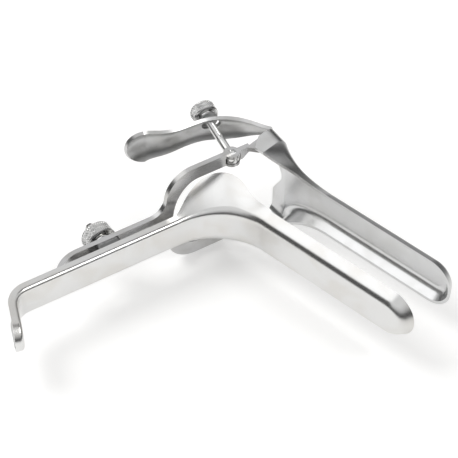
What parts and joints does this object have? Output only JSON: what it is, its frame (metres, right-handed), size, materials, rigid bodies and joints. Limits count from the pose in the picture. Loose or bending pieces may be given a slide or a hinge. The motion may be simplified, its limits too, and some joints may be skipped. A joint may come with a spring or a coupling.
{
  "type": "bivalve speculum",
  "caption": "Sheet-steel bivalve speculum: hooked handle with fixed lower blade, sliding hinged upper blade, thumb lever and two knurled locking nuts.",
  "frame": {"origin": "on the handle's broad flat face, on the axis of the locking stud", "axes": "+X out of the handle's face towards the blade tips, +Y up the handle towards the blades, +Z sideways to the side with the thumb lever"},
  "size_m": [0.1406, 0.1693, 0.0521],
  "materials": {
    "pressed_steel": "satin",
    "frame_steel": "satin",
    "turned_steel": "polished"
  },
  "bodies": {
    "handle": {"lower_blade": "pressed_steel", "handle_stud": "turned_steel", "guide_block": "frame_steel", "stud_stop": "turned_steel"},
    "frame": {"yoke_frame": "frame_steel", "swivel_pin": "turned_steel"},
    "blade": {"upper_blade": "pressed_steel", "thumb_lever": "pressed_steel", "hinge_rivets": "turned_steel"},
    "rod": {"adjusting_rod": "turned_steel"},
    "rod_washer": {"adjusting_washer": "turned_steel"},
    "rod_nut": {"adjusting_nut": "turned_steel"},
    "stud_washer": {"lock_washer": "turned_steel"},
    "stud_knob": {"lock_knob": "turned_steel"}
  },
  "joints": [
    {"name": "frame_slide", "type": "slide", "parent": "handle", "child": "frame", "axis": [0, 1, 0], "range_m": [-0.0205, 0]},
    {"name": "blade_hinge", "type": "hinge", "parent": "frame", "child": "blade", "pos_m": [-0.007, 0.078, 0], "axis": [0, 0, 1], "range_deg": [0, 24]},
    {"name": "rod_swivel", "type": "hinge", "parent": "frame", "child": "rod", "pos_m": [-0.00985, 0.0627, 0.021], "axis": [0, 0, 1], "range_deg": [0, 28.9]},
    {"name": "washer_travel", "type": "slide", "parent": "rod", "child": "rod_washer", "axis": [-0.9863, 0.165, 0], "range_m": [-0.0061, 0]},
    {"name": "nut_spin", "type": "hinge", "parent": "rod_washer", "child": "rod_nut", "pos_m": [-0.00985, 0.0627, 0.021], "axis": [-0.9863, 0.165, 0], "range_deg": [-3137.14, 0]},
    {"name": "lock_washer_travel", "type": "slide", "parent": "handle", "child": "stud_washer", "axis": [-1, 0, 0], "range_m": [0, 0.0014]},
    {"name": "lock_knob_spin", "type": "hinge", "parent": "stud_washer", "child": "stud_knob", "pos_m": [-0.012, 0, 0], "axis": [-1, 0, 0], "range_deg": [0, 720]}
  ],
  "couplings": [
    {"joint": "rod_swivel", "follows": "blade_hinge", "ratio": 1.2042},
    {"joint": "washer_travel", "follows": "blade_hinge", "m_per_rad": -0.014563},
    {"joint": "nut_spin", "follows": "blade_hinge", "ratio": -130.71}
  ]
}
